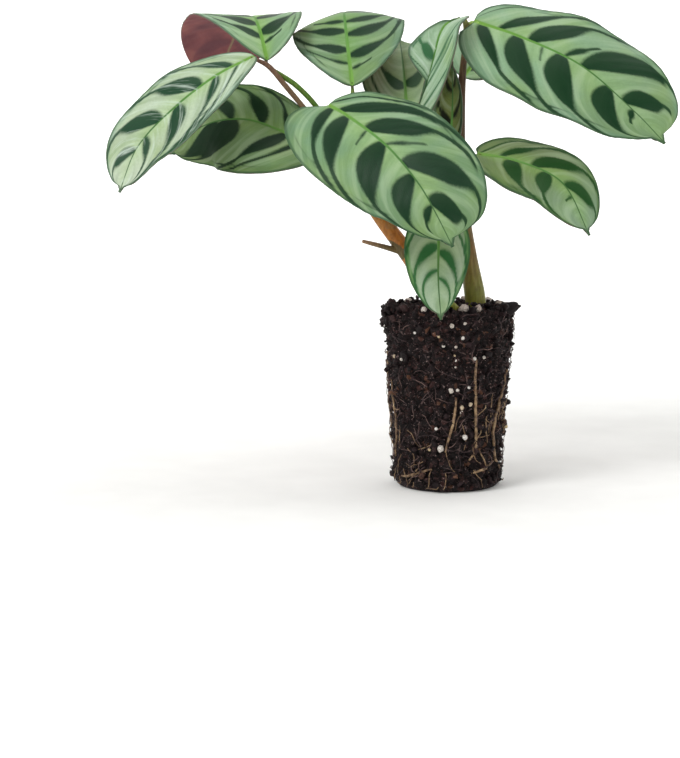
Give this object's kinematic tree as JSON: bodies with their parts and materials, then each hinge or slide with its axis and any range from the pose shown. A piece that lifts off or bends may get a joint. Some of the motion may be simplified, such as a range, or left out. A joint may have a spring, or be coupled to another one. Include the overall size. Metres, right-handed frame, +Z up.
{
  "type": "ctenanthe plug plant",
  "caption": "Young ctenanthe with striped leaves on arching stalks, standing on its bare peat root plug.",
  "frame": {"origin": "centre of the root plug's flat underside", "axes": "+Z up along the plug's axis; the plant's best side looks along -Y; +X to the viewer's right"},
  "size_m": [0.1533, 0.0936, 0.1326],
  "materials": {
    "peat": "matte",
    "stalk": "satin",
    "leaf": "satin"
  },
  "bodies": {
    "root": {"root_plug": "peat", "shoot_left": "stalk", "shoot_right": "stalk", "leaf_right": "leaf", "leaf_centre_front": "leaf", "leaf_left": "leaf", "leaf_upper_left": "leaf", "leaf_upper_middle": "leaf", "leaf_middle_back": "leaf", "leaf_folded": "leaf", "leaf_right_mid": "leaf", "leaf_left_back": "leaf", "leaf_small_front": "leaf", "leaf_centre_shaded": "leaf", "leaf_back": "leaf"}
  },
  "joints": []
}
